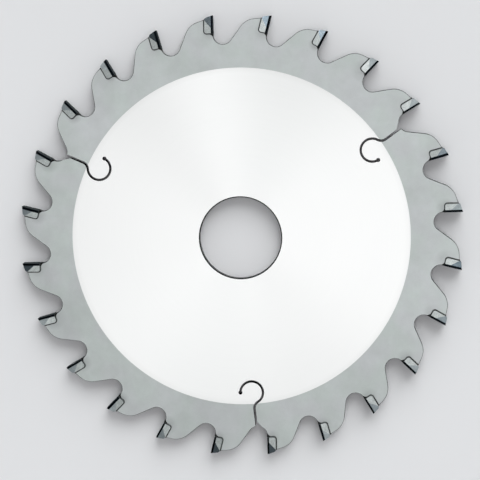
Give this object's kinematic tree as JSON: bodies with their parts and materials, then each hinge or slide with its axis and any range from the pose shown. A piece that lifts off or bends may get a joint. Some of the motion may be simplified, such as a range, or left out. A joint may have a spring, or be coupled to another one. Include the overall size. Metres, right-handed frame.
{
  "type": "conical scoring saw blade",
  "caption": "Thin toothed steel disc with a round bore, hooked expansion slots and brazed, conically ground carbide tips, for scoring a panel ahead of the main saw cut.",
  "frame": {"origin": "on the bore axis, at the mid-plane of the steel plate", "axes": "+Z along the bore axis, out of the face from which the blade cuts clockwise; +X and +Y in the plane of the plate, with the first tooth 8.3 degrees clockwise of +Y seen from +Z"},
  "size_m": [0.1192, 0.1192, 0.004],
  "materials": {
    "plate_steel": "ground tool steel, polished bright over the hub and matt grey over the rim",
    "carbide": "tungsten carbide, ground to a dark mirror along the cutting edges and paler behind them",
    "silver_solder": "silver solder fillet round each tip, darkened by the heat of brazing"
  },
  "bodies": {
    "root": {"saw_body": "plate_steel", "carbide_tip_01": "carbide", "carbide_tip_02": "carbide", "carbide_tip_03": "carbide", "carbide_tip_04": "carbide", "carbide_tip_05": "carbide", "carbide_tip_06": "carbide", "carbide_tip_07": "carbide", "carbide_tip_08": "carbide", "carbide_tip_09": "carbide", "carbide_tip_10": "carbide", "carbide_tip_11": "carbide", "carbide_tip_12": "carbide", "carbide_tip_13": "carbide", "carbide_tip_14": "carbide", "carbide_tip_15": "carbide", "carbide_tip_16": "carbide", "carbide_tip_17": "carbide", "carbide_tip_18": "carbide", "carbide_tip_19": "carbide", "carbide_tip_20": "carbide", "carbide_tip_21": "carbide", "carbide_tip_22": "carbide", "carbide_tip_23": "carbide", "carbide_tip_24": "carbide"}
  },
  "joints": []
}
